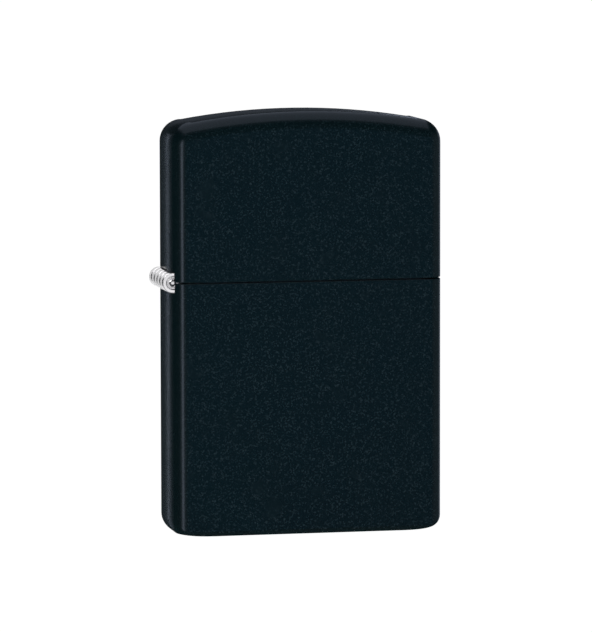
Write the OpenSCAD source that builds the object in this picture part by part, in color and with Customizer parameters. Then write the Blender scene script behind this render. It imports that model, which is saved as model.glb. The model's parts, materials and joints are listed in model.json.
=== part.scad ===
// Flip-top windproof pocket lighter, closed, standing on its base.
// Millimetres. +Z is up, +X points away from the hinge, the front faces -Y.
// The origin is the middle of the base.

/* [Outer case] */
// Width of the case across its front, without the hinge
case_w = 37.0; // [36.6:0.1:37.6]
// Depth of the case, front to back
case_d = 12.7; // [12.5:0.1:13.0]
// Height from the base to the crown of the lid
case_h = 57.2; // [56.8:0.1:57.8]
// Height of the line where lid and case meet
split_z = 34.4; // [34.2:0.1:34.6]
// Thickness of the drawn brass wall
wall = 0.6; // [0.5:0.05:0.65]
// Radius of the upright corners
corner_r = 1.9; // [1.5:0.1:2.2]
// Radius where the narrow sides turn into the base
base_side_r = 3.0; // [2.4:0.1:3.4]
// Radius where the narrow sides turn into the lid's crown
lid_side_r = 3.6; // [3.0:0.1:4.0]
// Radius of the lid's long top edges
lid_edge_r = 2.9; // [2.2:0.1:3.2]
// Rise of the crown over the lid's width
crown = 1.7; // [1.2:0.1:2.0]

/* [Hinge] */
// Outer radius of the five rolled knuckles
knuckle_r = 1.35; // [1.25:0.05:1.4]
// Radius of the hinge pin
pin_r = 0.85; // [0.75:0.05:0.9]
// Length of the whole row of knuckles
knuckle_row = 10.4; // [9.6:0.1:10.6]
// Thickness of the hinge leaves
leaf_t = 0.45; // [0.4:0.05:0.45]

/* [Inner unit] */
// Width of the inner unit
insert_w = 34.5; // [34.2:0.1:34.6]
// Depth of the inner unit
insert_d = 11.0; // [10.6:0.1:11.2]
// Height of the inner unit's top plate above the base
plate_z = 37.2; // [37.0:0.1:37.6]
// Height of the windscreen above the top plate
screen_h = 16.0; // [15.0:0.5:16.5]
// Diameter of the windscreen's air holes
air_hole_d = 2.3; // [2.0:0.1:2.5]

/* [Striker] */
// Outer radius of the flint wheel
wheel_r = 3.45; // [3.2:0.05:3.5]
// Number of teeth round the flint wheel
wheel_teeth = 44; // [36:4:56]
// Radius of the flint
flint_r = 1.2; // [1.15:0.05:1.25]
// Turns of the flint spring
spring_turns = 20; // [14:1:24]

/* [Cam] */
// Angle that the cam turns while the lid opens
cam_travel = 34; // [30:1:36]
// Distance from the cam's pivot to the middle of its nose
cam_reach = 6.65; // [6.4:0.05:6.7]

/* [Hidden] */
$fn = 48;
over = 0.01;                            // overlap that makes a cut come out cleanly
far = 100;                              // longer than the lighter in any direction

// Case
seam_half = 0.1;                        // half the gap between the lid and the case
rim_step = 0.2;                         // height of the eased edge on each rim
rim_inset = 0.15;                       // how far the eased edge stands back
base_edge_r = 0.6;                      // radius of the base's long edges
panel_sink = 0.3;                       // depth of the panel sunk in the base
panel = [case_w - 5.6, case_d - 4.4];   // its width and depth
panel_r = 2.6;
panel_lap = 0.5;                        // how far the raised floor reaches past the panel

// Hinge
pin_x = -case_w / 2 - 0.07;
pin_z = split_z;
pin_y = knuckle_row / 2;
knuckles = 5;
knuckle_gap = 0.12;
knuckle_pitch = knuckle_row / knuckles;
notch_half = knuckle_r + 0.15;          // half height of the notch in each wall
leaf_x = -case_w / 2 + wall;            // the leaves lie on the inside of the wall
leaf_half = case_d / 2 - corner_r - 0.05;   // and stop short of its round corners
leaf_h = 9.1;                           // reach of each leaf from the pin's axis
curl_end = 64;                          // angle at which a rolled knuckle stops
running = 0.05;                         // radial clearance of parts that turn

// Inner unit
insert_x = leaf_x + leaf_t + 0.58 + insert_w / 2;
insert_wall = 0.4;
insert_r = 2.6;
insert_play = 0.15;                     // clearance at the round corners of the case
insert_foot = 1.0;                      // height of the inner unit's open bottom edge
plate_t = 0.8;
skirt_h = 1.2;
felt_z = [1.1, 4.1];

// Windscreen
sheet = 0.5;                            // thickness of its sheet metal
screen_x = [-7.4, 5.9];                 // its two ends
screen_half = 4.3;                      // half its depth
screen_r = 1.5;
screen_top = plate_z + screen_h;
spark_window_h = 8.6;                   // height of the opening that faces the wheel
hole_pitch = 3.9;
row_pitch = 3.2;
hole_row_z = plate_z + 6.3;

// Striker
wheel_x = 9.8;
wheel_z = plate_z + 6.5;
wheel_half = 2.8;                       // half the width of the toothed part
hub_half = 3.7;                         // half the width over the hub
hub_r = 2.2;
tooth_h = 0.32;
wheel_rivet_r = 0.9;
flint_top = wheel_z - wheel_r - running;
flint_len = 4.6;
tube_r = 1.65;
tube_bore_r = 1.3;
tube_z = [2.5, 38.6];
tip_head = 1.0;                         // thickness of the spring tip's head
tip_shank = 2.0;
tip_shank_r = 0.55;
flint_bottom = flint_top - flint_len;
screw_head_r = 2.6;
screw_head_z = 1.15;
screw_thread_r = 1.25;
screw_thread_top = 8.5;
spring_wire_r = 0.17;
spring_mid_r = 0.98;
spring_z = [screw_thread_top + 0.02, flint_bottom - tip_head - 0.02];

// Cam
cam_x = -10.9;
cam_z = plate_z + 3.0;
cam_half = 2.0;
cam_hub_r = 2.0;
cam_nose_r = 0.55;
cam_flat = 1.85;                        // distance from the pivot to the two flats
cam_rest = 150;                         // direction of the nose with the lid closed
cam_rivet_r = 0.75;
cam_ear = [2.1, 2.6];                   // inner and outer face of the cam's two ears
leafspring_t = 0.3;
leafspring_half = 1.6;
leafspring_top = cam_z - cam_flat - 0.1;
spring_rivet_x = -14.9;

// Wick
wick_r = 1.45;
wick_x = -0.8;
wick_top = plate_z + 9.2;
wick_turn = 3.5;                        // radius of the folds
wick_left = -11.2;                      // where the left and right folds turn
wick_right = 2.6;
wick_run_z = 30.2;                      // height of the uppermost sideways run
wick_bend = 3.0;                        // radius of the bend under the plate
wick_sides = 12;

// ---- shared shapes -------------------------------------------------------------

// Rectangle with four round corners.
module round_rect(w, h, r) {
    square([w - 2 * r, h], center = true);
    square([w, h - 2 * r], center = true);
    for (x = [-1, 1], y = [-1, 1])
        translate([x * (w / 2 - r), y * (h / 2 - r)]) circle(r);
}

// Points on an arc about c, from angle a to angle b.
function arc(c, r, a, b, n) =
    [for (i = [0:n]) [c[0] + r * cos(a + (b - a) * i / n),
                      c[1] + r * sin(a + (b - a) * i / n)]];

// Outline of the closed lighter seen from the front, drawn inwards by inset.
module front_outline(inset) {
    hw = case_w / 2 - inset;
    top = case_h - inset;
    rb = base_side_r - inset;
    rt = lid_side_r - inset;
    crown_r = (pow(case_w / 2, 2) + crown * crown) / (2 * crown);
    lean = asin((hw - rt) / (crown_r - rt));       // where the corner meets the crown
    corner_z = top - crown_r + (crown_r - rt) * cos(lean);
    polygon(concat(
        arc([-(hw - rb), inset + rb], rb, 180, 270, 8),
        arc([hw - rb, inset + rb], rb, 270, 360, 8),
        arc([hw - rt, corner_z], rt, 0, 90 - lean, 8),
        arc([0, top - crown_r], crown_r, 90 - lean, 90 + lean, 12),
        arc([-(hw - rt), corner_z], rt, 90 + lean, 180, 8)));
}

// Outline seen from the side: small radius at the base, large one on the lid.
module side_outline(inset) {
    hd = case_d / 2 - inset;
    rb = max(base_edge_r - inset, 0.1);
    rt = lid_edge_r - inset;
    polygon(concat(
        arc([-(hd - rb), inset + rb], rb, 180, 270, 4),
        arc([hd - rb, inset + rb], rb, 270, 360, 4),
        arc([hd - rt, case_h - inset - rt], rt, 0, 90, 8),
        arc([-(hd - rt), case_h - inset - rt], rt, 90, 180, 8)));
}

// The whole closed lighter as one block, drawn inwards by inset.
module blank(inset) {
    intersection() {
        linear_extrude(far)
            round_rect(case_w - 2 * inset, case_d - 2 * inset, corner_r - inset);
        translate([0, far / 2, 0]) rotate([90, 0, 0])
            linear_extrude(far) front_outline(inset);
        translate([-far / 2, 0, 0]) rotate([90, 0, 90])
            linear_extrude(far) side_outline(inset);
    }
}

// The part of a shape that lies between two heights.
module between(low, high) {
    intersection() {
        children();
        translate([-far / 2, -far / 2, low]) cube([far, far, high - low]);
    }
}

// Upright prism on the inner unit's outline, drawn inwards by inset.
module insert_prism(inset, low, high) {
    translate([insert_x, 0, low]) linear_extrude(high - low)
        round_rect(insert_w - 2 * inset, insert_d - 2 * inset, insert_r - inset);
}

// The same prism, kept clear of the round corners at the bottom of the case.
module insert_block(inset, low, high) {
    intersection() {
        insert_prism(inset, low, high);
        blank(wall + insert_play + inset);
    }
}

// Cylinder along Y between two depths, about the axis through (x, z).
module cross_cylinder(x, z, r, y0, y1) {
    translate([x, y1, z]) rotate([90, 0, 0]) cylinder(r = r, h = y1 - y0);
}

// Shape drawn in the XZ plane and given depth along Y.
module cross_extrude(y0, y1) {
    translate([0, y1, 0]) rotate([90, 0, 0]) linear_extrude(y1 - y0) children();
}

// ---- case and lid --------------------------------------------------------------

// Notch in the hinge-side wall that the knuckles turn in.
module hinge_notch() {
    translate([pin_x - 3, -pin_y - 0.15, pin_z - notch_half])
        cube([3 + wall + 0.8, 2 * pin_y + 0.3, 2 * notch_half]);
}

module case_shell() {
    rim = split_z - seam_half;
    color("#0f1b21")
    difference() {
        union() {
            between(0, rim - rim_step) blank(0);
            between(rim - rim_step - over, rim) blank(rim_inset);
        }
        difference() {
            blank(wall);
            // the floor rises over the panel that is sunk in the base
            translate([0, 0, wall - over]) linear_extrude(panel_sink + over)
                round_rect(panel[0] + 2 * panel_lap, panel[1] + 2 * panel_lap,
                           panel_r + panel_lap);
        }
        translate([0, 0, -over]) linear_extrude(panel_sink + over)
            round_rect(panel[0], panel[1], panel_r);
        hinge_notch();
    }
}

module lid_shell() {
    rim = split_z + seam_half;
    color("#0f1b21")
    difference() {
        union() {
            between(rim + rim_step, far) blank(0);
            between(rim, rim + rim_step + over) blank(rim_inset);
        }
        blank(wall);
        hinge_notch();
    }
}

// ---- hinge ---------------------------------------------------------------------

// One leaf with its rolled knuckles, drawn for the case, in the pin's own frame:
// the plate hangs below the axis and each knuckle rolls up round the outside.
module hinge_leaf(mine, bore) {
    plate_x = leaf_x - pin_x;
    plate_top = -knuckle_r - 0.1;
    translate([plate_x, -leaf_half, -leaf_h])
        cube([leaf_t, 2 * leaf_half, leaf_h + plate_top]);
    for (k = mine) {
        y0 = -pin_y + k * knuckle_pitch + knuckle_gap / 2;
        y1 = y0 + knuckle_pitch - knuckle_gap;
        // strap from the plate out to the underside of the knuckle
        translate([0, y0, -knuckle_r])
            cube([plate_x + leaf_t, y1 - y0, knuckle_r - bore]);
        translate([plate_x, y0, plate_top - over])
            cube([leaf_t, y1 - y0, 0.3]);
        // the roll itself, open towards the inside of the lighter
        difference() {
            cross_cylinder(0, 0, knuckle_r, y0, y1);
            cross_cylinder(0, 0, bore, y0 - over, y1 + over);
            cross_extrude(y0 - over, y1 + over)
                polygon([[0, 0], [0, -2 * knuckle_r], [2 * knuckle_r, -2 * knuckle_r],
                         2 * knuckle_r * [1, sin(curl_end) / cos(curl_end)]]);
        }
    }
}

module case_hinge_leaf() {
    color("#d8d9dc")
    translate([pin_x, 0, pin_z]) hinge_leaf([0, 2, 4], pin_r);
}

module lid_hinge_leaf() {
    color("#d8d9dc")
    translate([pin_x, 0, pin_z]) mirror([0, 0, 1]) hinge_leaf([1, 3], pin_r + running);
}

module hinge_pin() {
    color("#c9cbd0") cross_cylinder(pin_x, pin_z, pin_r, -pin_y - 0.05, pin_y + 0.05);
}

// ---- inner unit ----------------------------------------------------------------

module insert_shell() {
    color("#c4c6c8")
    difference() {
        insert_block(0, insert_foot, plate_z - plate_t);
        insert_block(insert_wall, insert_foot - 1, plate_z);
        // the underside is open between the walls
        translate([insert_x, 0, 0]) linear_extrude(insert_foot + insert_wall + 0.8)
            round_rect(insert_w - 7, insert_d - 2 * insert_wall, insert_r - insert_wall);
    }
}

module top_plate() {
    edge = 0.25;                        // eased upper edge
    color("#c4c6c8")
    difference() {
        union() {
            insert_prism(0, plate_z - plate_t, plate_z - edge);
            insert_prism(edge, plate_z - edge - over, plate_z);
            insert_prism(insert_wall, plate_z - plate_t - skirt_h, plate_z - plate_t + over);
        }
        insert_prism(2 * insert_wall, 0, plate_z - plate_t);
        translate([wheel_x, 0, 0]) cylinder(r = tube_r, h = far);
        translate([wick_x, 0, 0]) cylinder(r = wick_r + 0.15, h = far);
        translate([spring_rivet_x, 0, 0]) cylinder(r = 0.6, h = far);
    }
}

// Flat side of the windscreen, with the ear that carries the flint wheel.
module screen_side() {
    ear_r = 2.5;
    polygon([[screen_x[0] + screen_r, plate_z], [wheel_x + 3.2, plate_z],
             [wheel_x + ear_r, wheel_z], [wheel_x, wheel_z + ear_r],
             [screen_x[1], wheel_z + ear_r], [screen_x[1] - screen_r, screen_top],
             [screen_x[0] + screen_r, screen_top]]);
    translate([wheel_x, wheel_z]) circle(ear_r);
}

// Ear that carries the cam.
module cam_ear_side() {
    ear_r = 1.9;
    polygon([[cam_x - 2.6, plate_z], [cam_x - ear_r, cam_z], [cam_x, cam_z + ear_r],
             [screen_x[0] + sheet, cam_z + ear_r + 1.2], [screen_x[0] + sheet, plate_z]]);
    translate([cam_x, cam_z]) circle(ear_r);
}

module windscreen() {
    mid = (screen_x[0] + screen_x[1]) / 2;
    color("#c4c6c8")
    difference() {
        union() {
            // the tube that shields the flame
            translate([mid, 0, plate_z]) linear_extrude(screen_h) difference() {
                round_rect(screen_x[1] - screen_x[0], 2 * screen_half, screen_r);
                round_rect(screen_x[1] - screen_x[0] - 2 * sheet,
                           2 * (screen_half - sheet), screen_r - sheet);
            }
            for (side = [-1, 1]) {
                y = side > 0 ? screen_half - sheet : -screen_half;
                cross_extrude(y, y + sheet) screen_side();
                ear = side > 0 ? cam_ear[0] : -cam_ear[1];
                cross_extrude(ear, ear + sheet) cam_ear_side();
            }
        }
        // window that lets the sparks reach the wick
        translate([screen_x[1] - sheet - 1, -screen_half + sheet, plate_z - over])
            cube([sheet + 2, 2 * (screen_half - sheet), spark_window_h]);
        // eight air holes in each side: rows of three, two and three
        for (row = [0:2], col = row == 1 ? [-0.5, 0.5] : [-1, 0, 1])
            cross_cylinder(mid + col * hole_pitch, hole_row_z + row * row_pitch,
                           air_hole_d / 2, -screen_half - 1, screen_half + 1);
        cross_cylinder(wheel_x, wheel_z, wheel_rivet_r, -10, 10);
        cross_cylinder(cam_x, cam_z, cam_rivet_r, -10, 10);
    }
}

// Rivet along Y: a shank with a flat round head outside each ear.
module rivet(x, z, r, ear, head_r, head_t) {
    cross_cylinder(x, z, r, -ear - head_t / 2, ear + head_t / 2);
    for (y = [-ear - head_t, ear]) cross_cylinder(x, z, head_r, y, y + head_t);
}

module wheel_rivet() {
    color("#b9a15a") rivet(wheel_x, wheel_z, wheel_rivet_r, screen_half, 1.6, 0.5);
}

module cam_rivet() {
    color("#b9bbbe") rivet(cam_x, cam_z, cam_rivet_r, cam_ear[1], 1.3, 0.4);
}

module cam_spring() {
    t = leafspring_t;
    low = plate_z + 0.01;
    high = leafspring_top;
    color("#9fa3a8")
    difference() {
        cross_extrude(-leafspring_half, leafspring_half)
            polygon([[-16.2, low], [-13.6, low], [-12.4, high - t], [cam_x + 1.6, high - t],
                     [cam_x + 2.2, high - t - 0.25], [cam_x + 2.2, high - 0.25],
                     [cam_x + 1.6, high], [-12.4, high], [-13.6, low + t], [-16.2, low + t]]);
        translate([spring_rivet_x, 0, 0]) cylinder(r = 0.6, h = far);
    }
}

module spring_rivet() {
    head_z = plate_z + 0.01 + leafspring_t;
    color("#b9a15a")
    translate([spring_rivet_x, 0, 0]) {
        translate([0, 0, plate_z - plate_t - 0.3]) cylinder(r = 0.6, h = head_z - plate_z + plate_t + 0.31);
        translate([0, 0, head_z]) cylinder(r = 1.1, h = 0.4);
        translate([0, 0, plate_z - plate_t - 0.4]) cylinder(r = 0.95, h = 0.4);
    }
}

// ---- flint and its feed --------------------------------------------------------

module flint_tube() {
    color("#c8a24a")
    translate([wheel_x, 0, 0]) difference() {
        union() {
            translate([0, 0, tube_z[0]]) cylinder(r = tube_r, h = tube_z[1] - tube_z[0]);
            translate([0, 0, plate_z]) cylinder(r = tube_r + 0.5, h = 0.35);
        }
        translate([0, 0, tube_z[0] - 1]) cylinder(r = tube_bore_r, h = far);
    }
}

module flint_screw() {
    head_h = tube_z[0] - screw_head_z;
    color("#c8a24a")
    translate([wheel_x, 0, 0]) difference() {
        union() {
            translate([0, 0, screw_head_z]) cylinder(r = screw_head_r, h = head_h);
            translate([0, 0, screw_head_z]) cylinder(r = screw_thread_r, h = screw_thread_top - screw_head_z);
            translate([0, 0, screw_thread_top - over]) cylinder(r = tip_shank_r, h = tip_shank);
        }
        // slot for a coin or a screwdriver
        translate([-screw_head_r - 1, -0.4, screw_head_z - 1])
            cube([2 * screw_head_r + 2, 0.8, 1.7]);
        // runout between head and thread
        for (z = [4:1.0:screw_thread_top - 0.5])
            translate([0, 0, z]) difference() {
                cylinder(r = screw_thread_r + 1, h = 0.35);
                translate([0, 0, -1]) cylinder(r = screw_thread_r - 0.15, h = 3);
            }
    }
}

// Closed tube swept along a list of points, given two directions across it at each.
module swept_tube(path, across, up, r, sides) {
    n = len(path);
    rings = [for (i = [0:n - 1], s = [0:sides - 1])
        path[i] + r * (cos(360 * s / sides) * across[i] + sin(360 * s / sides) * up[i])];
    walls = [for (i = [0:n - 2], s = [0:sides - 1])
        [i * sides + s, i * sides + (s + 1) % sides,
         (i + 1) * sides + (s + 1) % sides, (i + 1) * sides + s]];
    first = [for (s = [sides - 1:-1:0]) s];
    last = [for (s = [0:sides - 1]) (n - 1) * sides + s];
    polyhedron(points = rings, faces = concat(walls, [first], [last]), convexity = 10);
}

module flint_spring() {
    steps = 12;                         // points in each turn
    low = spring_z[0] + spring_wire_r;
    rise = spring_z[1] - spring_z[0] - 2 * spring_wire_r;
    count = spring_turns * steps;
    angle = [for (i = [0:count]) 360 * i / steps];
    path = [for (i = [0:count]) [wheel_x + spring_mid_r * cos(angle[i]),
                                 spring_mid_r * sin(angle[i]), low + rise * i / count]];
    outwards = [for (a = angle) [cos(a), sin(a), 0]];
    upwards = [for (a = angle) [0, 0, 1]];
    color("#aeb2b6") swept_tube(path, outwards, upwards, spring_wire_r, 6);
}

module spring_tip() {
    color("#c8a24a")
    translate([wheel_x, 0, 0]) {
        translate([0, 0, flint_bottom - tip_head]) cylinder(r = flint_r, h = tip_head);
        translate([0, 0, flint_bottom - tip_head - tip_shank])
            cylinder(r = tip_shank_r, h = tip_shank + over);
    }
}

module flint() {
    color("#55575b")
    translate([wheel_x, 0, flint_bottom]) cylinder(r = flint_r, h = flint_len);
}

module flint_wheel() {
    root = wheel_r - tooth_h;
    step = 360 / wheel_teeth;
    // each tooth leans: a long slope up to the tip and a steep drop behind it
    teeth = [for (i = [0:wheel_teeth - 1], p = [[root, 0], [wheel_r, 0.72], [wheel_r, 0.8]])
        p[0] * [cos((i + p[1]) * step), sin((i + p[1]) * step)]];
    color("#5d5f63")
    difference() {
        translate([wheel_x, 0, wheel_z]) union() {
            cross_extrude(-wheel_half, wheel_half) polygon(teeth);
            cross_cylinder(0, 0, hub_r, -hub_half, hub_half);
        }
        cross_cylinder(wheel_x, wheel_z, wheel_rivet_r + running, -10, 10);
    }
}

// ---- cam -----------------------------------------------------------------------

// Side view of the cam about its pivot, with the nose along +X.
module cam_outline() {
    lean = acos((cam_hub_r - cam_nose_r) / cam_reach);
    difference() {
        union() {
            circle(cam_hub_r);
            translate([cam_reach, 0]) circle(cam_nose_r);
            polygon([for (side = [-1, 1], end = side > 0 ? [1, 0] : [0, 1])
                [end * cam_reach + (end ? cam_nose_r : cam_hub_r) * cos(lean),
                 side * (end ? cam_nose_r : cam_hub_r) * sin(lean)]]);
        }
        // the two flats that the leaf spring holds it by, open and closed
        for (a = [270 - cam_rest, 270 - cam_rest - cam_travel])
            rotate(a) translate([cam_flat, -5]) square([5, 10]);
    }
}

module cam() {
    color("#8d9094")
    difference() {
        translate([cam_x, 0, cam_z]) cross_extrude(-cam_half, cam_half)
            rotate(cam_rest) cam_outline();
        cross_cylinder(cam_x, cam_z, cam_rivet_r + running, -10, 10);
    }
}

// ---- fuel chamber --------------------------------------------------------------

// The wick's line in the XZ plane: straight down from the flame, then folded to and fro.
wick_line = concat(
    [[wick_x, wick_top], [wick_x, wick_run_z + wick_bend + 5]],
    arc([wick_x - wick_bend, wick_run_z + wick_bend], wick_bend, 0, -90, 5),
    arc([wick_left, wick_run_z - wick_turn], wick_turn, 90, 270, 8),
    arc([wick_right, wick_run_z - 3 * wick_turn], wick_turn, 90, -90, 8),
    arc([wick_left, wick_run_z - 5 * wick_turn], wick_turn, 90, 270, 8),
    [[wick_right, wick_run_z - 6 * wick_turn]]);

module wick() {
    n = len(wick_line);
    path = [for (p = wick_line) [p[0], 0, p[1]]];
    // direction of travel at each point, then the normal in the same plane
    travel = [for (i = [0:n - 1])
        let (d = wick_line[min(i + 1, n - 1)] - wick_line[max(i - 1, 0)]) d / norm(d)];
    across = [for (t = travel) [t[1], 0, -t[0]]];
    up = [for (t = travel) [0, 1, 0]];
    color("#e7e0cf") swept_tube(path, across, up, wick_r, wick_sides);
}

// One wad of fibre pressed between two corners.
module wad(low, high) {
    r = 1.3;
    hull() for (x = [low[0] + r, high[0] - r], z = [low[1] + r, high[1] - r], y = [-1, 1])
        translate([x, y * (insert_d / 2 - insert_wall - 0.3 - r), z]) sphere(r, $fn = 16);
}

module cotton_packing() {
    left = insert_x - insert_w / 2 + insert_wall + 0.3;
    right = insert_x + insert_w / 2 - insert_wall - 0.3;
    tube_left = wheel_x - tube_r - 0.2;
    room = wick_r + 0.2;                // clearance about the wick's line
    top = plate_z - plate_t - skirt_h - 0.2;
    run = [for (i = [0:3]) wick_run_z - 2 * i * wick_turn];
    color("#efece4") {
        wad([left, run[0] + room], [wick_x - wick_bend - room, top]);
        wad([wick_x + room, run[1] + 2 * wick_turn - 4], [tube_left, top]);
        wad([wick_left, run[1] + room], [wick_x + 1.4, run[0] - room]);
        wad([left, run[2] + room], [wick_right + 0.2, run[1] - room]);
        wad([wick_left, run[3] + room], [tube_left, run[2] - room]);
        wad([left, felt_z[1] + 0.2], [tube_left, run[3] - room]);
        wad([wheel_x + tube_r + 0.2, felt_z[1] + 0.2], [right, top]);
    }
}

module felt_pad() {
    color("#cfcabb")
    difference() {
        insert_block(insert_wall + 0.1, felt_z[0], felt_z[1]);
        translate([wheel_x, 0, 0]) cylinder(r = screw_head_r + 0.3, h = 10);
        // cut round three sides of the filling flap
        translate([-9, 2.6, felt_z[0] - 1]) cube([12, 0.35, 5]);
        for (x = [-9, 2.65]) translate([x, -2.6, felt_z[0] - 1]) cube([0.35, 5.5, 5]);
    }
}

case_shell();
case_hinge_leaf();
hinge_pin();
insert_shell();
top_plate();
windscreen();
wheel_rivet();
cam_rivet();
cam_spring();
spring_rivet();
flint_tube();
flint_screw();
flint_spring();
wick();
cotton_packing();
felt_pad();
lid_shell();
lid_hinge_leaf();
cam();
flint_wheel();
flint();
spring_tip();
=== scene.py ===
# %% [markdown]
# # A flip-top pocket lighter
# The imported model is a fixed frame: it says where every piece is and how it moves.
# This notebook loads it first and takes its sizes from its boxes. Nothing that is
# added may stand outside it.
# Everything is in metres, so `mm` turns millimetres into them.

# %% Load the frame
import json
import math
import bmesh
import bpy
from mathutils import Matrix, Vector, noise

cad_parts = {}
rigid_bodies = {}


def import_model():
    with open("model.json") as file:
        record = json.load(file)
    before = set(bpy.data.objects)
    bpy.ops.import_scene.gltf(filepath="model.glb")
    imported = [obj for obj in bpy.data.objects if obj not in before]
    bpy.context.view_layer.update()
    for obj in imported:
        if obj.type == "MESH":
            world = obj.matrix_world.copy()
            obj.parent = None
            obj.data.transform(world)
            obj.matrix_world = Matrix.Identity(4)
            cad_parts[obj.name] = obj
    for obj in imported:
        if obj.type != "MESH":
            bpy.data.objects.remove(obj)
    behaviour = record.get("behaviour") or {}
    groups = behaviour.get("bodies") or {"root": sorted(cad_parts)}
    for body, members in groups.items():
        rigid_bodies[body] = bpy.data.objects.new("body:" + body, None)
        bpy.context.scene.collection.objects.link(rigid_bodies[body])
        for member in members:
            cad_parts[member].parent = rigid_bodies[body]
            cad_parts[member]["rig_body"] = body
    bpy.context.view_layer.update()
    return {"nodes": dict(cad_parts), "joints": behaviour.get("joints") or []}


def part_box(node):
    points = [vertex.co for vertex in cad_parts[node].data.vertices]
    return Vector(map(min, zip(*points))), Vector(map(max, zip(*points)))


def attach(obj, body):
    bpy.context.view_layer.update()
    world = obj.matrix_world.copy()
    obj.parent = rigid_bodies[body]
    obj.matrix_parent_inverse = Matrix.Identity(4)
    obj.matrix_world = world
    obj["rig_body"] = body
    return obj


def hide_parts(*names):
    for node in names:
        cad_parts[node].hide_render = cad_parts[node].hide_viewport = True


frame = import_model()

mm = 0.001

# %% [markdown]
# ## The sizes that everything else follows
# The outer shape comes from the boxes of the two shells and from the hinge's axis.
# The radii are those of a drawn brass can: small along the base, larger at the
# sides, and soft along the top of the lid.

# %% Sizes from the frame
case_lo, case_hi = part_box("case_shell")
half_w, half_d, top_z = case_hi.x, case_hi.y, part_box("lid_shell")[1].z
joints = {joint["name"]: joint for joint in frame["joints"]}
pin = Vector(joints["lid_hinge"]["pos_m"])
seam_z = pin.z
wall = 0.6 * mm
corner_r = 1.9 * mm                     # upright corners, seen from above
side_in = {"base": 1.2 * mm, "lid": 2.9 * mm}      # how far the narrow sides turn in
side_up = {"base": 2.1 * mm, "lid": 3.0 * mm}      # and over what height
edge_r = {"base": 0.8 * mm, "lid": 2.4 * mm}       # along the front and back
corner_gain = {"base": 3.0 * mm, "lid": -1.5 * mm}     # change of the corners' radius
crown = 1.85 * mm                       # how much higher the lid is in its middle
bow = 0.05 * mm                         # how far the narrow sides swell
crown_r = (half_w ** 2 + crown ** 2) / (2 * crown)
print(f"case {2e3 * half_w:.1f} x {2e3 * half_d:.1f} x {1e3 * top_z:.1f} mm, seam at {1e3 * seam_z:.1f}")

# %% [markdown]
# ## Small tools for finishes
# Each finish is one Principled shader. Its pattern is made of noise on Object
# coordinates, because every piece sits at the origin and so the grain has the same
# scale on all of them. A value that is the same everywhere goes on the shader itself.

# %% Helpers for materials
def new_finish(name, color, metallic, roughness, **more):
    finish = bpy.data.materials.new(name)
    finish.use_nodes = True
    shader = finish.node_tree.nodes["Principled BSDF"]
    shader.inputs["Base Color"].default_value = (*color, 1)
    shader.inputs["Metallic"].default_value = metallic
    shader.inputs["Roughness"].default_value = roughness
    for socket, value in more.items():
        shader.inputs[socket.replace("_", " ")].default_value = value
    return finish


def noise_field(finish, scale, detail=2.0, stretch=(1, 1, 1)):
    """Noise from 0 to 1 over the object, with `scale` cells to a metre."""
    tree = finish.node_tree
    coords = tree.nodes.new("ShaderNodeTexCoord")
    mapping = tree.nodes.new("ShaderNodeMapping")
    mapping.inputs["Scale"].default_value = stretch
    field = tree.nodes.new("ShaderNodeTexNoise")
    field.inputs["Scale"].default_value = scale
    field.inputs["Detail"].default_value = detail
    tree.links.new(coords.outputs["Object"], mapping.inputs["Vector"])
    tree.links.new(mapping.outputs["Vector"], field.inputs["Vector"])
    return field.outputs["Fac"]


def ramp(finish, value, stops):
    """Turns a value into a colour: stops are (place, colour) pairs."""
    node = finish.node_tree.nodes.new("ShaderNodeValToRGB")
    while len(node.color_ramp.elements) < len(stops):
        node.color_ramp.elements.new(0.5)
    for element, (place, color) in zip(node.color_ramp.elements, stops):
        element.position = place
        element.color = (*color, 1)
    finish.node_tree.links.new(value, node.inputs["Fac"])
    return node.outputs["Color"]


def spread(finish, value, low, high):
    """Maps a value of 0 to 1 onto low to high."""
    node = finish.node_tree.nodes.new("ShaderNodeMapRange")
    node.inputs["To Min"].default_value = low
    node.inputs["To Max"].default_value = high
    finish.node_tree.links.new(value, node.inputs["Value"])
    return node.outputs["Result"]


def connect(finish, value, socket):
    shader = finish.node_tree.nodes["Principled BSDF"]
    finish.node_tree.links.new(value, shader.inputs[socket])


def add_bump(finish, height, depth, strength=1.0, over=None):
    """Roughness in relief. `over` is an earlier bump that this one lies on."""
    node = finish.node_tree.nodes.new("ShaderNodeBump")
    node.inputs["Distance"].default_value = depth
    node.inputs["Strength"].default_value = strength
    finish.node_tree.links.new(height, node.inputs["Height"])
    if over:
        finish.node_tree.links.new(over.outputs["Normal"], node.inputs["Normal"])
    connect(finish, node.outputs["Normal"], "Normal")
    return node


def crossing_ridges(finish, centre, turns, pitch):
    """Two sets of spirals that cross, about an axis along Y through the centre."""
    tree = finish.node_tree

    def math_node(operation, first, second=None):
        node = tree.nodes.new("ShaderNodeMath")
        node.operation = operation
        for socket, value in zip(node.inputs, (first, second)):
            if isinstance(value, (int, float)):
                socket.default_value = value
            elif value:
                tree.links.new(value, socket)
        return node.outputs["Value"]

    coords = tree.nodes.new("ShaderNodeTexCoord")
    mapping = tree.nodes.new("ShaderNodeMapping")
    mapping.inputs["Location"].default_value = [-part for part in centre]
    split = tree.nodes.new("ShaderNodeSeparateXYZ")
    tree.links.new(coords.outputs["Object"], mapping.inputs["Vector"])
    tree.links.new(mapping.outputs["Vector"], split.inputs["Vector"])
    angle = math_node("ARCTAN2", split.outputs["Z"], split.outputs["X"])
    spin = math_node("MULTIPLY", angle, turns)
    climb = math_node("MULTIPLY", split.outputs["Y"], 2 * math.pi / pitch)
    left = math_node("SINE", math_node("ADD", spin, climb))
    right = math_node("SINE", math_node("SUBTRACT", spin, climb))
    return math_node("MAXIMUM", left, right)


print("finish helpers ready")
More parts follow.
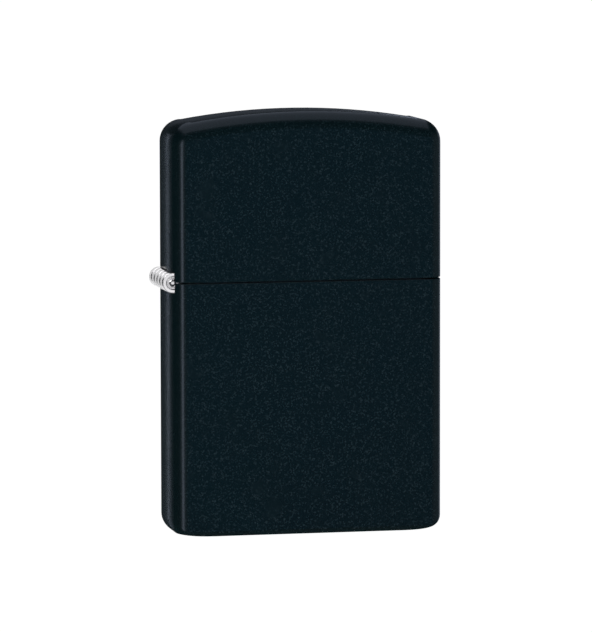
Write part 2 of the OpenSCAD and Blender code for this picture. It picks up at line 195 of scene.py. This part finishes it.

# %% [markdown]
# ## The black coat
# A powder coat is baked plastic dust. Seen close it is a field of tiny domes, some a
# little lighter than the rest, and its gloss is broad and weak. Two noises do this:
# one of a quarter of a millimetre for the domes, and a coarser one that keeps the
# gloss from being perfectly even. The specks show on the broad front and back, which
# are also painted a little lighter, as painted light; where the surface turns away the
# coat is painted a plain, darker colour, as painted shade. An attribute of the shells,
# `flat`, mixes the two.
# A very broad relief makes the flat sides mirror the lights as slightly swollen ones.

# %% Black powder coat
grain_per_m = 4000
cloud_per_m = 260
# Painted shade: the plain, darker coat colour for the corners, sides and top, where the surface turns
# away from the front and back.
smooth_coat_painted_shade = (0.0014, 0.0092, 0.0108, 1)


def across_squared(finish):
    """0 along the middle of the lighter's depth and 1 at its front and back."""
    tree = finish.node_tree
    coords = tree.nodes.new("ShaderNodeTexCoord")
    mapping = tree.nodes.new("ShaderNodeMapping")
    mapping.inputs["Scale"].default_value = (0, 1 / half_d, 0)
    split = tree.nodes.new("ShaderNodeSeparateXYZ")
    square = tree.nodes.new("ShaderNodeMath")
    square.operation = "MULTIPLY"
    tree.links.new(coords.outputs["Object"], mapping.inputs["Vector"])
    tree.links.new(mapping.outputs["Vector"], split.inputs["Vector"])
    tree.links.new(split.outputs["Y"], square.inputs[0])
    tree.links.new(split.outputs["Y"], square.inputs[1])
    return square.outputs["Value"]


def make_coat():
    coat = new_finish("black_coat", (0.001, 0.0065, 0.008), 0.0, 0.26)
    grain = noise_field(coat, grain_per_m, detail=2)
    cloud = noise_field(coat, cloud_per_m, detail=2)
    # The coat's grain, painted a little lighter on average than the plain colour: painted light on the
    # faces that look to the front and back.
    grain_and_painted_front_light = ramp(coat, grain, [(0.36, (0.0014, 0.0082, 0.0098)), (0.56, (0.0025, 0.0118, 0.0146)),
                                  (0.74, (0.02, 0.038, 0.044))])
    # The `flat` attribute mixes the painted light of the front and back with the painted shade where the
    # surface turns away.
    flat = coat.node_tree.nodes.new("ShaderNodeAttribute")
    flat.attribute_name = "flat"
    mix = coat.node_tree.nodes.new("ShaderNodeMix")
    mix.data_type = "RGBA"
    mix.inputs[6].default_value = smooth_coat_painted_shade
    coat.node_tree.links.new(flat.outputs["Fac"], mix.inputs["Factor"])
    coat.node_tree.links.new(grain_and_painted_front_light, mix.inputs[7])
    connect(coat, mix.outputs[2], "Base Color")
    connect(coat, spread(coat, cloud, 0.22, 0.3), "Roughness")
    swell = add_bump(coat, across_squared(coat), 0.8 * mm)
    swell.invert = True
    add_bump(coat, grain, 0.01 * mm, strength=0.25, over=swell)
    return coat


coat = make_coat()
print("made", coat.name)

# %% [markdown]
# ## The metals
# Bright plate, satin sheet, brass and dark tool steel differ in colour, in how broad
# the gloss is, and in the marks that making them leaves: rolled sheet has fine lines
# along one direction, and plate has faint clouds; its hairline scratches are not drawn.

# %% Metals
def make_metal(name, color, roughness, lines=(1, 1, 1), scale=900, depth=0.004):
    metal = new_finish(name, color, 1.0, roughness)
    marks = noise_field(metal, scale, detail=4, stretch=lines)
    dark = tuple(0.82 * part for part in color)
    connect(metal, ramp(metal, marks, [(0.3, dark), (0.7, color)]), "Base Color")
    connect(metal, spread(metal, marks, 0.75 * roughness, 1.3 * roughness), "Roughness")
    add_bump(metal, marks, depth * mm, strength=0.5)
    return metal


chrome = make_metal("hinge_chrome", (0.86, 0.85, 0.87), 0.2, scale=700)
sheet_steel = make_metal("insert_steel", (0.62, 0.62, 0.63), 0.3, lines=(1, 1, 12))
inside_metal = make_metal("drawn_inside", (0.85, 0.8, 0.66), 0.5, lines=(1, 1, 8))
spring_steel = make_metal("spring_steel", (0.5, 0.51, 0.53), 0.25, lines=(10, 1, 1))
wheel_steel = make_metal("wheel_steel", (0.26, 0.26, 0.27), 0.38, scale=2500, depth=0.01)
brass = make_metal("brass", (0.78, 0.57, 0.26), 0.27, lines=(1, 1, 6))
flint_alloy = make_metal("flint_alloy", (0.2, 0.2, 0.21), 0.6, scale=3000, depth=0.02)
print("made", len(bpy.data.materials), "finishes so far")

# %% [markdown]
# ## Soft goods
# Cotton wool is a mass of loose fibres, felt is the same pressed flat, and the wick
# is a braided cord. All three scatter light and have no gloss, so sheen and a deep
# fine bump matter more than colour.

# %% Fibres
def make_fibre(name, color, scale, depth, stretch=(1, 1, 1)):
    fibre = new_finish(name, color, 0.0, 0.95, Sheen_Weight=0.4, Sheen_Roughness=0.6)
    tufts = noise_field(fibre, scale, detail=6, stretch=stretch)
    dark = tuple(0.62 * part for part in color)
    connect(fibre, ramp(fibre, tufts, [(0.32, dark), (0.6, color)]), "Base Color")
    add_bump(fibre, tufts, depth * mm)
    return fibre


cotton = make_fibre("cotton", (0.86, 0.84, 0.79), 900, 0.25)
felt = make_fibre("felt", (0.62, 0.58, 0.5), 2200, 0.1, stretch=(1, 1, 3))
wick_cord = make_fibre("wick_cord", (0.78, 0.73, 0.62), 1500, 0.1)
print("made", len(bpy.data.materials), "finishes")

# %% [markdown]
# ## Turning a bmesh into a piece
# A finished piece sits at the origin with its place in its mesh. Doubled points are
# merged and the faces turned outwards first. Faces are smooth except across sharp
# edges, and a Weighted Normal modifier keeps the broad flat faces looking flat.

# %% Helpers for pieces
def make_piece(name, bm, body, finishes, replaces, sharp=32):
    bmesh.ops.remove_doubles(bm, verts=bm.verts[:], dist=0.0005 * mm)
    bmesh.ops.recalc_face_normals(bm, faces=bm.faces[:])
    mesh = bpy.data.meshes.new(name)
    bm.to_mesh(mesh)
    bm.free()
    return place_piece(name, mesh, body, finishes, replaces, sharp)


def place_piece(name, mesh, body, finishes, replaces, sharp=32):
    for finish in finishes:
        mesh.materials.append(finish)
    mesh.shade_smooth()
    mesh.set_sharp_from_angle(angle=math.radians(sharp))
    piece = bpy.data.objects.new(name, mesh)
    bpy.context.scene.collection.objects.link(piece)
    weighted = piece.modifiers.new("flat faces stay flat", "WEIGHTED_NORMAL")
    weighted.keep_sharp = True
    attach(piece, body)
    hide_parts(*replaces)
    print(f"{name}: {len(mesh.polygons)} faces on {body}")
    return piece


def ease_edges(bm, width, segments=2, angle=30):
    """Rounds every edge that is sharper than the angle."""
    sharp = [e for e in bm.edges if len(e.link_faces) == 2 and e.calc_face_angle(0) > math.radians(angle)]
    bmesh.ops.bevel(bm, geom=sharp, offset=width, offset_type="OFFSET", affect="EDGES",
                    segments=segments, profile=0.5, material=-1, clamp_overlap=True)


def new_verts(result):
    return [part for part in result["geom"] if isinstance(part, bmesh.types.BMVert)]


print("piece helpers ready")

# %% [markdown]
# ## How a drawn can is lofted
# Both shells are one ring of points that is extruded again and again: down the
# outside, round the rim, and back up the inside. At each station the ring is a
# rectangle with round corners, moved in by one amount at the front and back and by
# another at the narrow sides. That blends the large and the small radii into each
# other as pressing does, which bevelling a box can't.

# %% The ring and its stations
painted_shade_normal_y = 0.7                       # a normal's Y where the specks and painted light have faded into painted shade
painted_light_normal_y = 0.98                      # and where the specks and painted light are at their strongest
least_painted_light = 0.35                       # how much of them is left everywhere else


def rounded_outline(corner_cuts=10, front_cuts=15, side_cuts=7):
    """A closed ring of edges: the lighter's outline from above."""
    bm = bmesh.new()
    bmesh.ops.create_circle(bm, cap_ends=True, radius=math.sqrt(2), segments=4)
    bmesh.ops.rotate(bm, verts=bm.verts[:], matrix=Matrix.Rotation(math.radians(45), 3, "Z"))
    bmesh.ops.scale(bm, verts=bm.verts[:], vec=(half_w, half_d, 1))
    bmesh.ops.bevel(bm, geom=bm.verts[:], offset=corner_r, offset_type="OFFSET",
                    affect="VERTICES", segments=corner_cuts, profile=0.5, material=-1)
    bmesh.ops.delete(bm, geom=bm.faces[:], context="FACES_ONLY")
    long_edges = [e for e in bm.edges if e.calc_length() > 2 * half_d]
    side_edges = [e for e in bm.edges if 0.8 * half_d < e.calc_length() < 2 * half_d]
    bmesh.ops.subdivide_edges(bm, edges=long_edges, cuts=front_cuts)
    bmesh.ops.subdivide_edges(bm, edges=side_edges, cuts=side_cuts)
    return bm


def crown_z(x):
    """Height of the lid's top surface."""
    return top_z - crown_r + math.sqrt(crown_r ** 2 - x ** 2)


def blend(a, b, share):
    share = share * share * (3 - 2 * share)
    return a + (b - a) * share


def ring_point(home, station):
    """Where a point of the outline goes at a station."""
    inset_side, inset_front, radius, z_side, z_front = station
    mid_x, mid_y = half_w - corner_r, half_d - corner_r
    reach_x = half_w - inset_side - radius
    reach_y = half_d - inset_front - radius
    x, y = abs(home.x), abs(home.y)
    if x > mid_x and y > mid_y:
        angle = math.atan2(y - mid_y, x - mid_x)
        x = reach_x + radius * math.cos(angle)
        y = reach_y + radius * math.sin(angle)
        share = angle / math.radians(90)
    elif x > mid_x:
        x, y, share = reach_x + radius, y * reach_y / mid_y, 0
    else:
        x, y, share = x * reach_x / mid_x, reach_y + radius, 1
    z = blend(z_side(x), z_front(x), share)
    x -= bow * (x / half_w) * (y / half_d) ** 2     # the narrow sides swell in the middle
    return Vector((math.copysign(x, home.x), math.copysign(y, home.y), z))


def level(z):
    return lambda x: z


def loft(stations, inner_from):
    """Extrudes the outline through the stations. Faces past `inner_from` are bare metal."""
    bm = rounded_outline()
    home = bm.verts.layers.float_vector.new("home")
    for vert in bm.verts:
        vert[home] = vert.co
        vert.co = ring_point(vert[home], stations[0])
    ring = bm.edges[:]
    for number, station in enumerate(stations[1:], 1):
        result = bmesh.ops.extrude_edge_only(bm, edges=ring)
        verts = set(new_verts(result))
        for vert in verts:
            vert.co = ring_point(vert[home], station)
        ring = [e for e in bm.edges if e.verts[0] in verts and e.verts[1] in verts]
        for face in {f for e in ring for f in e.link_faces}:
            face.material_index = int(number > inner_from)
    bmesh.ops.remove_doubles(bm, verts=bm.verts[:], dist=0.0005 * mm)
    # Painted light and shade: `flat` is near 1 where a point's normal looks to the front or back and
    # falls to its least where the surface turns away; the coat is painted lighter with specks by it.
    flat = bm.verts.layers.float.new("flat")
    for vert in bm.verts:
        share = (abs(vert.normal.y) - painted_shade_normal_y) / (painted_light_normal_y - painted_shade_normal_y)
        vert[flat] = min(max(share, least_painted_light), 1)
    return bm


print("outline has", len(rounded_outline().verts), "points")

# %% [markdown]
# ## Where the stations are
# Each quarter round is cut into even angles. `turn` gives the stations of one quarter
# round between the flat end and the upright wall, for the outside and, drawn in by
# the wall's thickness, for the inside.

# %% Stations of the lid and the case
quarter = 9                             # stations in a quarter round
rim_r = 0.12 * mm                       # rounding of the two rims
seam_half = 0.08 * mm
lean = math.asin((half_w - side_in["lid"]) / (crown_r - side_in["lid"]))


def quarter_turn(end, inset, first_angle, side_z, front_z):
    """Stations of a quarter round. The upright corners change their radius on the way."""
    stations = []
    for i in range(quarter, -1, -1):
        side = first_angle * i / quarter
        edge = math.pi / 2 * i / quarter
        stations.append((
            inset + (side_in[end] - inset) * (1 - math.cos(side)),
            inset + (edge_r[end] - inset) * (1 - math.cos(edge)),
            corner_r - inset + corner_gain[end] * (1 - math.cos(edge)),
            level(side_z(math.sin(side))), front_z(math.sin(edge))))
    return stations


def lid_turn(inset):
    """From the crown out to the wall."""
    centre_z = top_z - crown_r + (crown_r - side_in["lid"]) * math.cos(lean)
    drop = edge_r["lid"] - inset
    return quarter_turn("lid", inset, math.pi / 2 - lean,
                        lambda rise: centre_z + (side_up["lid"] - inset) * rise,
                        lambda rise: lambda x: crown_z(x) - inset - drop * (1 - rise))


def lid_cap(inset):
    """From the middle line of the crown out to where it turns down."""
    last = lid_turn(inset)[0]
    shares = (1.0, 0.75, 0.5, 0.25)
    return [(last[0] + s * half_d / 2, last[1] + s * (half_d - last[1]), (1 - s) * last[2],
             lambda x: crown_z(x) - inset, lambda x: crown_z(x) - inset) for s in shares]


def rim_turn(z, up):
    """Round the rim from the outside to the inside. `up` is 1 where the rim faces up."""
    stations = []
    steps = 4
    for i in range(2 * steps + 1):
        angle = math.pi * i / (2 * steps)
        away = rim_r if i <= steps else wall - rim_r
        inset = away - rim_r * math.cos(angle)
        height = level(z - up * rim_r * (1 - math.sin(angle)))
        stations.append((inset, inset, corner_r - inset, height, height))
    return stations


def reverse(stations):
    return stations[::-1]


lid_rim = seam_z + seam_half
lid_stations = lid_cap(0) + lid_turn(0) + rim_turn(lid_rim, -1)
lid_inner = len(lid_stations)
lid_stations += reverse(lid_turn(wall)) + reverse(lid_cap(wall))
print("the lid has", len(lid_stations), "stations")

# %% [markdown]
# The case is the same can upside down: a flat base with a small radius at the front
# and a large one at the sides, and a shallow panel pressed into the base so that it
# stands on a narrow rim.

# %% Stations of the case
panel_sink = 0.3 * mm
panel_inset = 2.3 * mm                  # from the front and back to the panel's edge
panel_side = 2.9 * mm                   # from the narrow sides to it
panel_corner_r = 3.4 * mm
slope = 0.14                            # the part of the way that the panel's edge takes
panel_steps = ((1.0, 1), (0.6, 1), (0.25, 1), (0.0, 1), (-0.04, 0.8), (-0.1, 0.2), (-slope, 0))


def base_turn(inset, floor):
    """From the flat base out to the wall."""
    return quarter_turn("base", inset, math.pi / 2,
                        lambda rise: floor + (side_up["base"] - inset) * (1 - rise),
                        lambda rise: level(floor + (edge_r["base"] - inset) * (1 - rise)))


def base_cap(floor, sink, spread_by):
    """From the middle line of the base out over the sunk panel."""
    stations = []
    side_edge, front_edge = panel_side - spread_by, panel_inset - spread_by
    for share, down in panel_steps:
        side = side_edge + (share + slope) * half_d * 0.6
        front = front_edge + (share + slope) * (half_d - front_edge) / (1 + slope)
        z = level(floor + down * sink)
        radius = panel_corner_r * (1 - max(share, 0))
        stations.append((side, front, radius, z, z))
    return stations


case_rim = seam_z - seam_half
case_stations = base_cap(0, panel_sink, 0) + base_turn(0, 0) + rim_turn(case_rim, 1)
case_inner = len(case_stations)
case_stations += reverse(base_turn(wall, wall)) + reverse(base_cap(wall, panel_sink, 0.4 * mm))
print("the case has", len(case_stations), "stations")

# %% [markdown]
# ## Cutting the notch for the hinge
# The knuckles turn in a notch in both walls. A notch is cut out of a finished shell
# with a Boolean: the cutter is a plain block, and it is gone afterwards.

# %% The two shells
leaf_lo, leaf_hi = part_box("case_hinge_leaf")
knuckle_r = pin.x - leaf_lo.x
row_half = leaf_hi.y


def block(low, high):
    bm = bmesh.new()
    bmesh.ops.create_cube(bm, size=1)
    bmesh.ops.scale(bm, verts=bm.verts[:], vec=[high[i] - low[i] for i in range(3)])
    bmesh.ops.translate(bm, verts=bm.verts[:], vec=[(high[i] + low[i]) / 2 for i in range(3)])
    return bm


def scratch_object(bm, name, recalc=True):
    if recalc:
        bmesh.ops.recalc_face_normals(bm, faces=bm.faces[:])
    mesh = bpy.data.meshes.new(name)
    bm.to_mesh(mesh)
    bm.free()
    thing = bpy.data.objects.new(name, mesh)
    bpy.context.scene.collection.objects.link(thing)
    return thing


def cut(bm, cutters):
    """The bmesh less each cutter, as a new mesh."""
    bmesh.ops.remove_doubles(bm, verts=bm.verts[:], dist=0.0005 * mm)
    body = scratch_object(bm, "body being cut")
    tools = [scratch_object(cutter, "cutter") for cutter in cutters]
    for tool in tools:
        boolean = body.modifiers.new("cut", "BOOLEAN")
        boolean.operation = "DIFFERENCE"
        boolean.solver = "EXACT"
        boolean.object = tool
    bpy.context.view_layer.update()
    mesh = bpy.data.meshes.new_from_object(body.evaluated_get(bpy.context.evaluated_depsgraph_get()))
    for thing in [body, *tools]:
        bpy.data.objects.remove(thing)
    mesh.materials.clear()
    return mesh


end_room = 0.12 * mm                    # free space past the two outer knuckles
notch_half = knuckle_r + 0.07 * mm
notch_low = (pin.x - 2 * mm, -row_half - end_room, pin.z - notch_half)
notch_high = (pin.x + 1.5 * mm, row_half + end_room, pin.z + notch_half)
lid_mesh = cut(loft(lid_stations, lid_inner), [block(notch_low, notch_high)])
lid = place_piece("lid", lid_mesh, "lid", [coat, inside_metal], ["lid_shell"])
case_mesh = cut(loft(case_stations, case_inner), [block(notch_low, notch_high)])
case = place_piece("case", case_mesh, "case", [coat, inside_metal], ["case_shell"])

# %% [markdown]
# ## The hinge
# Each leaf is a strip of sheet whose end is rolled round the pin. The roll is made by
# spinning the strip's cross section about the pin's axis, and the strap that leads
# into the lighter is the first section pulled out straight. The case has the front,
# middle and back knuckle, and the lid's two sit between them. The plate stops short
# of the pin, so the other leaf's knuckles have room to turn.

# %% Rolled knuckles and leaves
sheet = 0.46 * mm
knuckles = 5
pitch = 2 * row_half / knuckles
gap = 0.04 * mm
roll = math.radians(192)                # from the strap round to the free lip
strap_end = -half_w + wall + 0.45 * mm
plate_half = half_d - corner_r - 0.05 * mm
plate_deep = 9 * mm                     # from the pin to the plate's far edge
strap_lap = 0.1 * mm                    # by how much the plate overlaps the straps


def add_knuckle(bm, number):
    """A knuckle for the case's leaf, in the pin's own frame."""
    y0 = -row_half + number * pitch + gap / 2
    y1 = y0 + pitch - gap
    outside, inside = -knuckle_r, sheet - knuckle_r
    corners = ((y0, outside), (y1, outside), (y1, inside), (y0, inside))
    section = bm.faces.new([bm.verts.new((0, y, z)) for y, z in corners])
    parts = [section, *section.edges, *section.verts]
    bmesh.ops.spin(bm, geom=parts, cent=(0, 0, 0), axis=(0, 1, 0), angle=roll, steps=28,
                   use_merge=False, use_duplicate=False)
    strap = bmesh.ops.extrude_discrete_faces(bm, faces=[section])["faces"]
    bmesh.ops.translate(bm, verts=list({v for f in strap for v in f.verts}),
                        vec=(strap_end - pin.x, 0, 0))


def make_leaf(name, body, numbers, node, flip):
    bm = bmesh.new()
    for number in numbers:
        add_knuckle(bm, number)
    plate = block((strap_end - pin.x - sheet, -plate_half, -plate_deep),
                  (strap_end - pin.x, plate_half, -knuckle_r + strap_lap))
    part = bpy.data.meshes.new("plate")
    plate.to_mesh(part)
    plate.free()
    bm.from_mesh(part)
    bmesh.ops.recalc_face_normals(bm, faces=bm.faces[:])
    ease_edges(bm, 0.025 * mm, segments=3, angle=40)
    if flip:
        bmesh.ops.scale(bm, verts=bm.verts[:], vec=(1, 1, -1))
    bmesh.ops.translate(bm, verts=bm.verts[:], vec=pin)
    return make_piece(name, bm, body, [chrome], [node], sharp=50)


case_leaf = make_leaf("case_leaf", "case", (0, 2, 4), "case_hinge_leaf", False)
lid_leaf = make_leaf("lid_leaf", "lid", (1, 3), "lid_hinge_leaf", True)

# %% [markdown]
# The pin is a rod that fills the knuckles. Each end is turned to a rim, a groove and a
# low dome, a little short of the outer knuckles' faces.

# %% The hinge pin
pin_end = ((0.16, 0), (0.1, -0.2), (0.06, 0), (0.14, 0.12), (0.1, 0.04))    # (in, out) in mm


def make_pin():
    bm = bmesh.new()
    radius = knuckle_r - sheet - 0.03 * mm
    bmesh.ops.create_cone(bm, cap_ends=True, segments=40, radius1=radius, radius2=radius,
                          depth=2 * row_half - 0.1 * mm)
    ends = [e for e in bm.edges if abs(e.verts[0].co.z - e.verts[1].co.z) < 0.01 * mm]
    caps = [f for f in bm.faces if len(f.verts) > 4]
    for thickness, depth in pin_end:
        bmesh.ops.inset_individual(bm, faces=caps, thickness=thickness * mm, depth=depth * mm)
    bmesh.ops.bevel(bm, geom=ends, offset=0.05 * mm, offset_type="OFFSET", affect="EDGES",
                    segments=3, profile=0.5, material=-1)
    bmesh.ops.rotate(bm, verts=bm.verts[:], matrix=Matrix.Rotation(math.radians(90), 3, "X"))
    bmesh.ops.translate(bm, verts=bm.verts[:], vec=pin)
    return make_piece("pin", bm, "case", [chrome], ["hinge_pin"], sharp=35)


hinge_pin = make_pin()

# %% [markdown]
# ## The cross-cut wheel
# The wheel's teeth are cut across by a second, slanting cut that makes them bite into
# the flint. The teeth are in the frame's shape. The cross cut is a tenth of a
# millimetre deep at most, so it is a relief in the finish.

# %% Relief of the wheel
cross_cuts = 22
cut_pitch = 1.6 * mm
wheel_lo, wheel_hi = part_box("flint_wheel")
wheel_centre = (wheel_lo + wheel_hi) / 2
add_bump(wheel_steel, crossing_ridges(wheel_steel, wheel_centre, cross_cuts, cut_pitch), 0.05 * mm)
print("wheel", round(1e3 * (wheel_hi.z - wheel_lo.z), 1), "mm across")

# %% [markdown]
# ## The insert and its works
# These parts are stamped, turned or rolled, then tumbled in a barrel, which takes
# the sharpness off every edge. Their shapes are already right in the frame, so each
# is a merged copy with its flat facets joined and its edges rounded: barely on thin
# sheet, and so far on the rivets that their heads come out domed.

# %% Copies with eased edges
def merged_copy(node):
    bm = bmesh.new()
    bm.from_mesh(frame["nodes"][node].data)
    bmesh.ops.remove_doubles(bm, verts=bm.verts[:], dist=0.001 * mm)
    return bm


def eased_copy(node, name, width, finish, segments=2):
    bm = merged_copy(node)
    bmesh.ops.dissolve_limit(bm, angle_limit=math.radians(1), verts=bm.verts[:], edges=bm.edges[:])
    ease_edges(bm, width, segments=segments)
    body = frame["nodes"][node]["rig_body"]
    return make_piece(name, bm, body, [finish], [node], sharp=40)


works = [
    eased_copy("insert_shell", "insert", 0.12 * mm, sheet_steel),
    eased_copy("top_plate", "deck", 0.16 * mm, sheet_steel, 3),
    eased_copy("windscreen", "chimney", 0.06 * mm, sheet_steel),
    eased_copy("cam", "cam_lever", 0.14 * mm, spring_steel),
    eased_copy("cam_spring", "cam_leaf_spring", 0.05 * mm, spring_steel),
    eased_copy("cam_rivet", "cam_pin", 0.2 * mm, sheet_steel, 4),
    eased_copy("spring_rivet", "leaf_rivet", 0.2 * mm, brass, 4),
    eased_copy("wheel_rivet", "wheel_pin", 0.24 * mm, brass, 4),
    eased_copy("flint_wheel", "spark_wheel", 0.03 * mm, wheel_steel, 1),
    eased_copy("flint_tube", "flint_guide", 0.08 * mm, brass),
    eased_copy("flint_screw", "feed_screw", 0.15 * mm, brass),
    eased_copy("flint", "flint_rod", 0.12 * mm, flint_alloy),
    eased_copy("spring_tip", "feed_tip", 0.1 * mm, brass)]

# %% [markdown]
# The coil spring under the flint is the one part whose frame shape is used as it is,
# because it gets shorter as the flint is pushed down and the frame knows how.

# %% The coil spring
coil = frame["nodes"]["flint_spring"]
coil.data.materials.clear()
coil.data.materials.append(spring_steel)
print("finished flint_spring")

# %% [markdown]
# ## Wick, packing and pad
# The wick is a braided cord, folded to and fro through wads of cotton that hold the
# fuel, and a felt pad closes the bottom. Each is remeshed to an even skin, rounded
# off and pushed in from place to place: by the spirals of a braid for the wick, and by
# a fixed noise for the wads and the pad. So they look braided or stuffed, and stay
# inside the space that the frame gives them.

# %% Soft pieces
strands = 5
braid_pitch = 3.2 * mm
braid_relief = 0.11 * mm
wick_x = -0.8 * mm                      # the wick's upright end


def braid_depth(co):
    angle = strands * math.atan2(co.y, co.x - wick_x)
    climb = 2 * math.pi * co.z / braid_pitch
    return braid_relief * (1 - max(math.sin(angle + climb), math.sin(angle - climb)))


def stuffed_depth(dent, size):
    return lambda co: dent * (0.75 + 0.5 * noise.noise(co / size))


def soft_piece(node, name, cell, inward, finish):
    lump = scratch_object(merged_copy(node), name)
    remesh = lump.modifiers.new("even skin", "REMESH")
    remesh.mode = "VOXEL"
    remesh.voxel_size = cell
    rounding = lump.modifiers.new("rounding", "SMOOTH")
    rounding.iterations = 4
    bpy.context.view_layer.update()
    mesh = bpy.data.meshes.new_from_object(lump.evaluated_get(bpy.context.evaluated_depsgraph_get()))
    bpy.data.objects.remove(lump)
    bm = bmesh.new()
    bm.from_mesh(mesh)
    bm.normal_update()
    for vert in bm.verts:
        vert.co -= vert.normal * inward(vert.co)
    body = frame["nodes"][node]["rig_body"]
    return make_piece(name, bm, body, [finish], [node], sharp=80)


wick = soft_piece("wick", "wick_braid", 0.14 * mm, braid_depth, wick_cord)
wads = soft_piece("cotton_packing", "cotton_wads", 0.4 * mm, stuffed_depth(0.2 * mm, 1.3 * mm), cotton)
pad = soft_piece("felt_pad", "felt_sole", 0.3 * mm, stuffed_depth(0.06 * mm, 1 * mm), felt)

# %% [markdown]
# ## Camera
# A long lens a good half metre away, a little above the lid and round towards the
# hinge, so that the front and the hinge side both show.

# %% Camera
azimuth, elevation = math.radians(12.1), math.radians(5.8)
distance = 0.683
focal = 286.0                           # mm, on a 36 mm sensor
towards = Vector((-math.sin(azimuth) * math.cos(elevation),
                  -math.cos(azimuth) * math.cos(elevation), math.sin(elevation)))
aim = Vector((-0.55 * mm, 0.1 * mm, top_z / 2 + 0.45 * mm))
tilt = math.radians(-0.11)              # the camera leans over by a hair
camera = bpy.data.objects.new("camera", bpy.data.cameras.new("camera"))
bpy.context.scene.collection.objects.link(camera)
camera.data.lens = focal
camera.data.sensor_width = 36
camera.data.clip_start = 0.01
camera.location = Vector((0, 0, top_z / 2)) + towards * distance
roll = Matrix.Rotation(tilt, 3, "Z")
camera.rotation_euler = ((aim - camera.location).to_track_quat("-Z", "Y").to_matrix() @ roll).to_euler()
bpy.context.scene.camera = camera
print("camera", [round(c, 3) for c in camera.location])

# %% [markdown]
# ## Floor and light
# The lighter stands on a wide white floor. Black shows its shape only through what it
# mirrors, so the lights are soft boxes: one over and behind the lid, a thin one behind
# the hinge side, one that draws the front corner, two on the right, and a weak fill.
# They are slightly blue, as the coat looks. The two boxes for the hinge are close to
# it, and the rest light the works.

# %% Floor and lights
def make_floor():
    bm = bmesh.new()
    bmesh.ops.create_grid(bm, x_segments=1, y_segments=1, size=8)
    floor = scratch_object(bm, "floor", recalc=False)
    paper = new_finish("paper", (0.8, 0.8, 0.8), 0.0, 1.0, Emission_Strength=1.02)
    paper.node_tree.nodes["Principled BSDF"].inputs["Emission Color"].default_value = (1, 1, 1, 1)
    paper.node_tree.nodes["Principled BSDF"].inputs["Specular IOR Level"].default_value = 0
    floor.data.materials.append(paper)
    floor.location.z = case_lo.z - 0.02 * mm
    floor.visible_glossy = False
    floor.visible_shadow = False
    return floor


def softbox(name, azimuth, elevation, distance, size, power, color=(1, 1, 1), target=(0, 0, 0.028)):
    """A rectangular light. Azimuth is counted from the front towards the hinge side."""
    light = bpy.data.lights.new(name, "AREA")
    light.shape = "RECTANGLE"
    light.size, light.size_y = size
    light.energy = power
    light.color = color
    box = bpy.data.objects.new(name, light)
    bpy.context.scene.collection.objects.link(box)
    a, e = math.radians(azimuth), math.radians(elevation)
    away = Vector((-math.sin(a) * math.cos(e), -math.cos(a) * math.cos(e), math.sin(e)))
    box.location = Vector(target) + away * distance
    box.rotation_euler = (-away).to_track_quat("-Z", "Y").to_euler()
    return box


floor = make_floor()
cool = (0.7, 0.8, 1.0)
coat_lights = [
    softbox("over and behind", 180, 84, 0.7, (0.9, 1.5), 2.5, cool),
    softbox("backdrop", 192, 14, 0.7, (0.35, 0.25), 0.02, cool),
    softbox("behind the hinge", 161, -6, 0.5, (0.02, 0.3), 0.026, cool),
    softbox("front corner", 33, -6, 0.6, (0.12, 0.4), 0.36, cool),
    softbox("right front", -62, 0, 0.6, (0.5, 0.5), 0.12, cool),
    softbox("right rear", -130, 0, 0.6, (0.8, 0.5), 1.1, cool),
    softbox("fill", -14, -4, 0.5, (0.4, 0.2), 0.035, (0.1, 0.5, 1.0))]
hinge_lights = [
    softbox("hinge from behind", 180, 1, 0.4, (0.24, 0.24), 0.14, target=pin),
    softbox("hinge from the front", -12, -4, 0.25, (0.14, 0.12), 0.055, target=pin)]
works_lights = [
    softbox("front, high", 0, 32, 0.6, (0.9, 0.3), 1.3),
    softbox("front, low", 0, -30, 0.6, (0.9, 0.3), 1.2)]
side_lights = [
    softbox("left, high", 50, 38, 0.5, (0.5, 0.35), 1.3),
    softbox("hinge side, high", 105, 30, 0.5, (0.5, 0.3), 0.9),
    softbox("right, high", -60, 38, 0.5, (0.4, 0.35), 0.8),
    softbox("back, high", 185, 32, 0.6, (0.9, 0.3), 1.1),
    softbox("back, low", 180, -30, 0.6, (0.9, 0.3), 1.0)]

# %% [markdown]
# The bright hinge and the silvery works would burn out in the lights that a black coat
# needs, so each group has its own lights, and each light falls on one group only.
# Those for the works stand well above and below, where they can't shine in at the
# seam while the lid is shut.

# %% Which light falls on what
def shine_on(name, pieces, boxes):
    group = bpy.data.collections.new(name)
    for piece in pieces:
        group.objects.link(piece)
    for box in boxes:
        box.light_linking.receiver_collection = group


hinge = [case_leaf, lid_leaf, hinge_pin]
works += [wick, wads, pad, coil]
shine_on("coated", [lid, case], coat_lights)
shine_on("hinge", hinge, hinge_lights)
shine_on("works", works, works_lights)
shine_on("bare metal", works + hinge, side_lights)

room_glow = 0.02
world = bpy.data.worlds.new("studio")
bpy.context.scene.world = world
world.use_nodes = True
world.node_tree.nodes["Background"].inputs["Color"].default_value = (0.75, 0.88, 1.0, 1)
world.node_tree.nodes["Background"].inputs["Strength"].default_value = room_glow
bpy.context.scene.view_settings.view_transform = "Standard"
